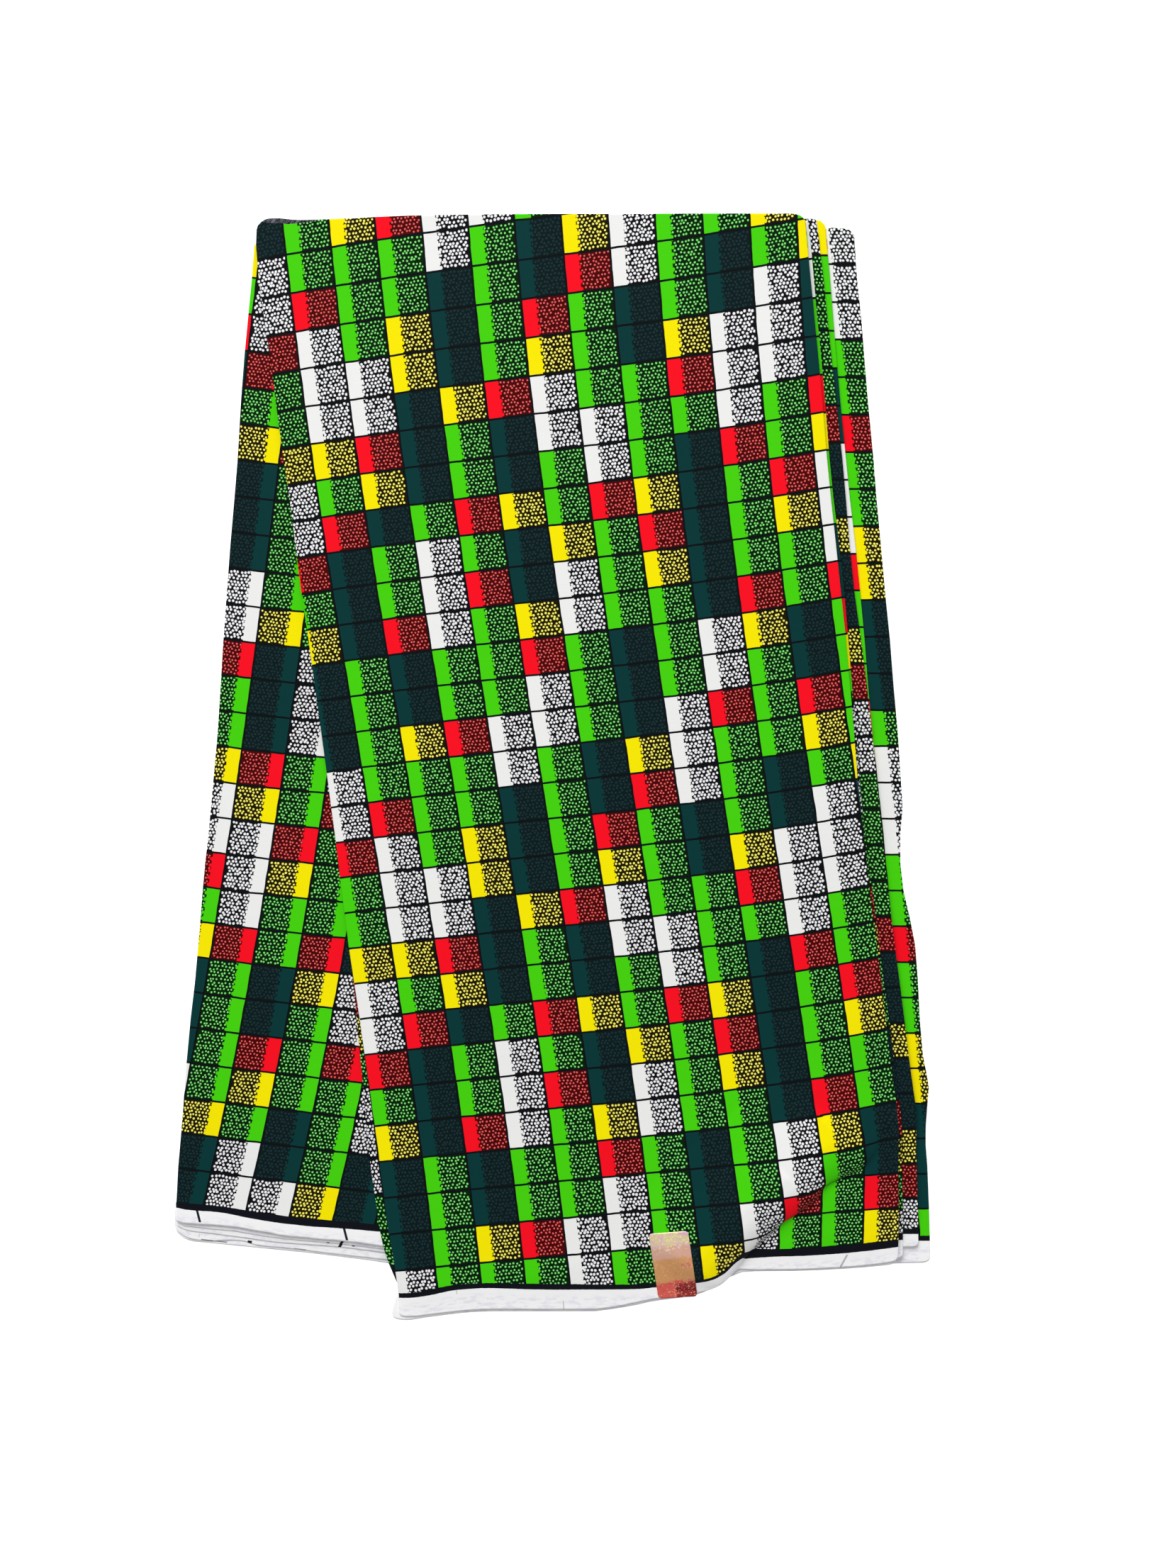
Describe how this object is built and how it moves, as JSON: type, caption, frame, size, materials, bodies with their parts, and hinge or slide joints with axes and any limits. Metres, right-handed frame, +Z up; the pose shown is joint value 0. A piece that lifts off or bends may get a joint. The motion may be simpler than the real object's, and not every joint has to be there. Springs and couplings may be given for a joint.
{
  "type": "folded length of wax-print cotton",
  "caption": "Length of wax-print cotton folded into a flat packet, its lower stretches fanned out at both sides, with a soft diagonal ripple and a small blank foil label.",
  "frame": {"origin": "on the surface the packet lies on, under the centre of its bounding box", "axes": "+Y towards the folded top edge, +Z up out of the front stretch, +X towards the fanned folds at the right"},
  "size_m": [0.4126, 0.5904, 0.0204],
  "materials": {
    "printed_cotton": "crisp plain-weave cotton, wax-printed on both faces, faint waxy sheen",
    "printed_cotton_under": "the same cotton, the lower half of the doubled front stretch",
    "printed_cotton_left": "the same cotton, seen turned over",
    "printed_cotton_right": "the same cotton, folded edges at the right",
    "selvedge": "unprinted white selvedge with a dark border line",
    "hidden_layers": "edges of the folded layers",
    "foil": "blank holographic foil, pink to orange"
  },
  "bodies": {
    "root": {"front_stretch": "printed_cotton", "front_under_stretch": "printed_cotton_under", "left_stretch": "printed_cotton_left", "left_selvedge_upper": "selvedge", "left_selvedge_lower": "selvedge", "right_stretch_inner": "printed_cotton_right", "right_stretch_middle": "printed_cotton_right", "right_stretch_lower": "printed_cotton_right", "right_stretch_outer": "printed_cotton_right", "hidden_stack": "hidden_layers", "foil_label": "foil"}
  },
  "joints": []
}
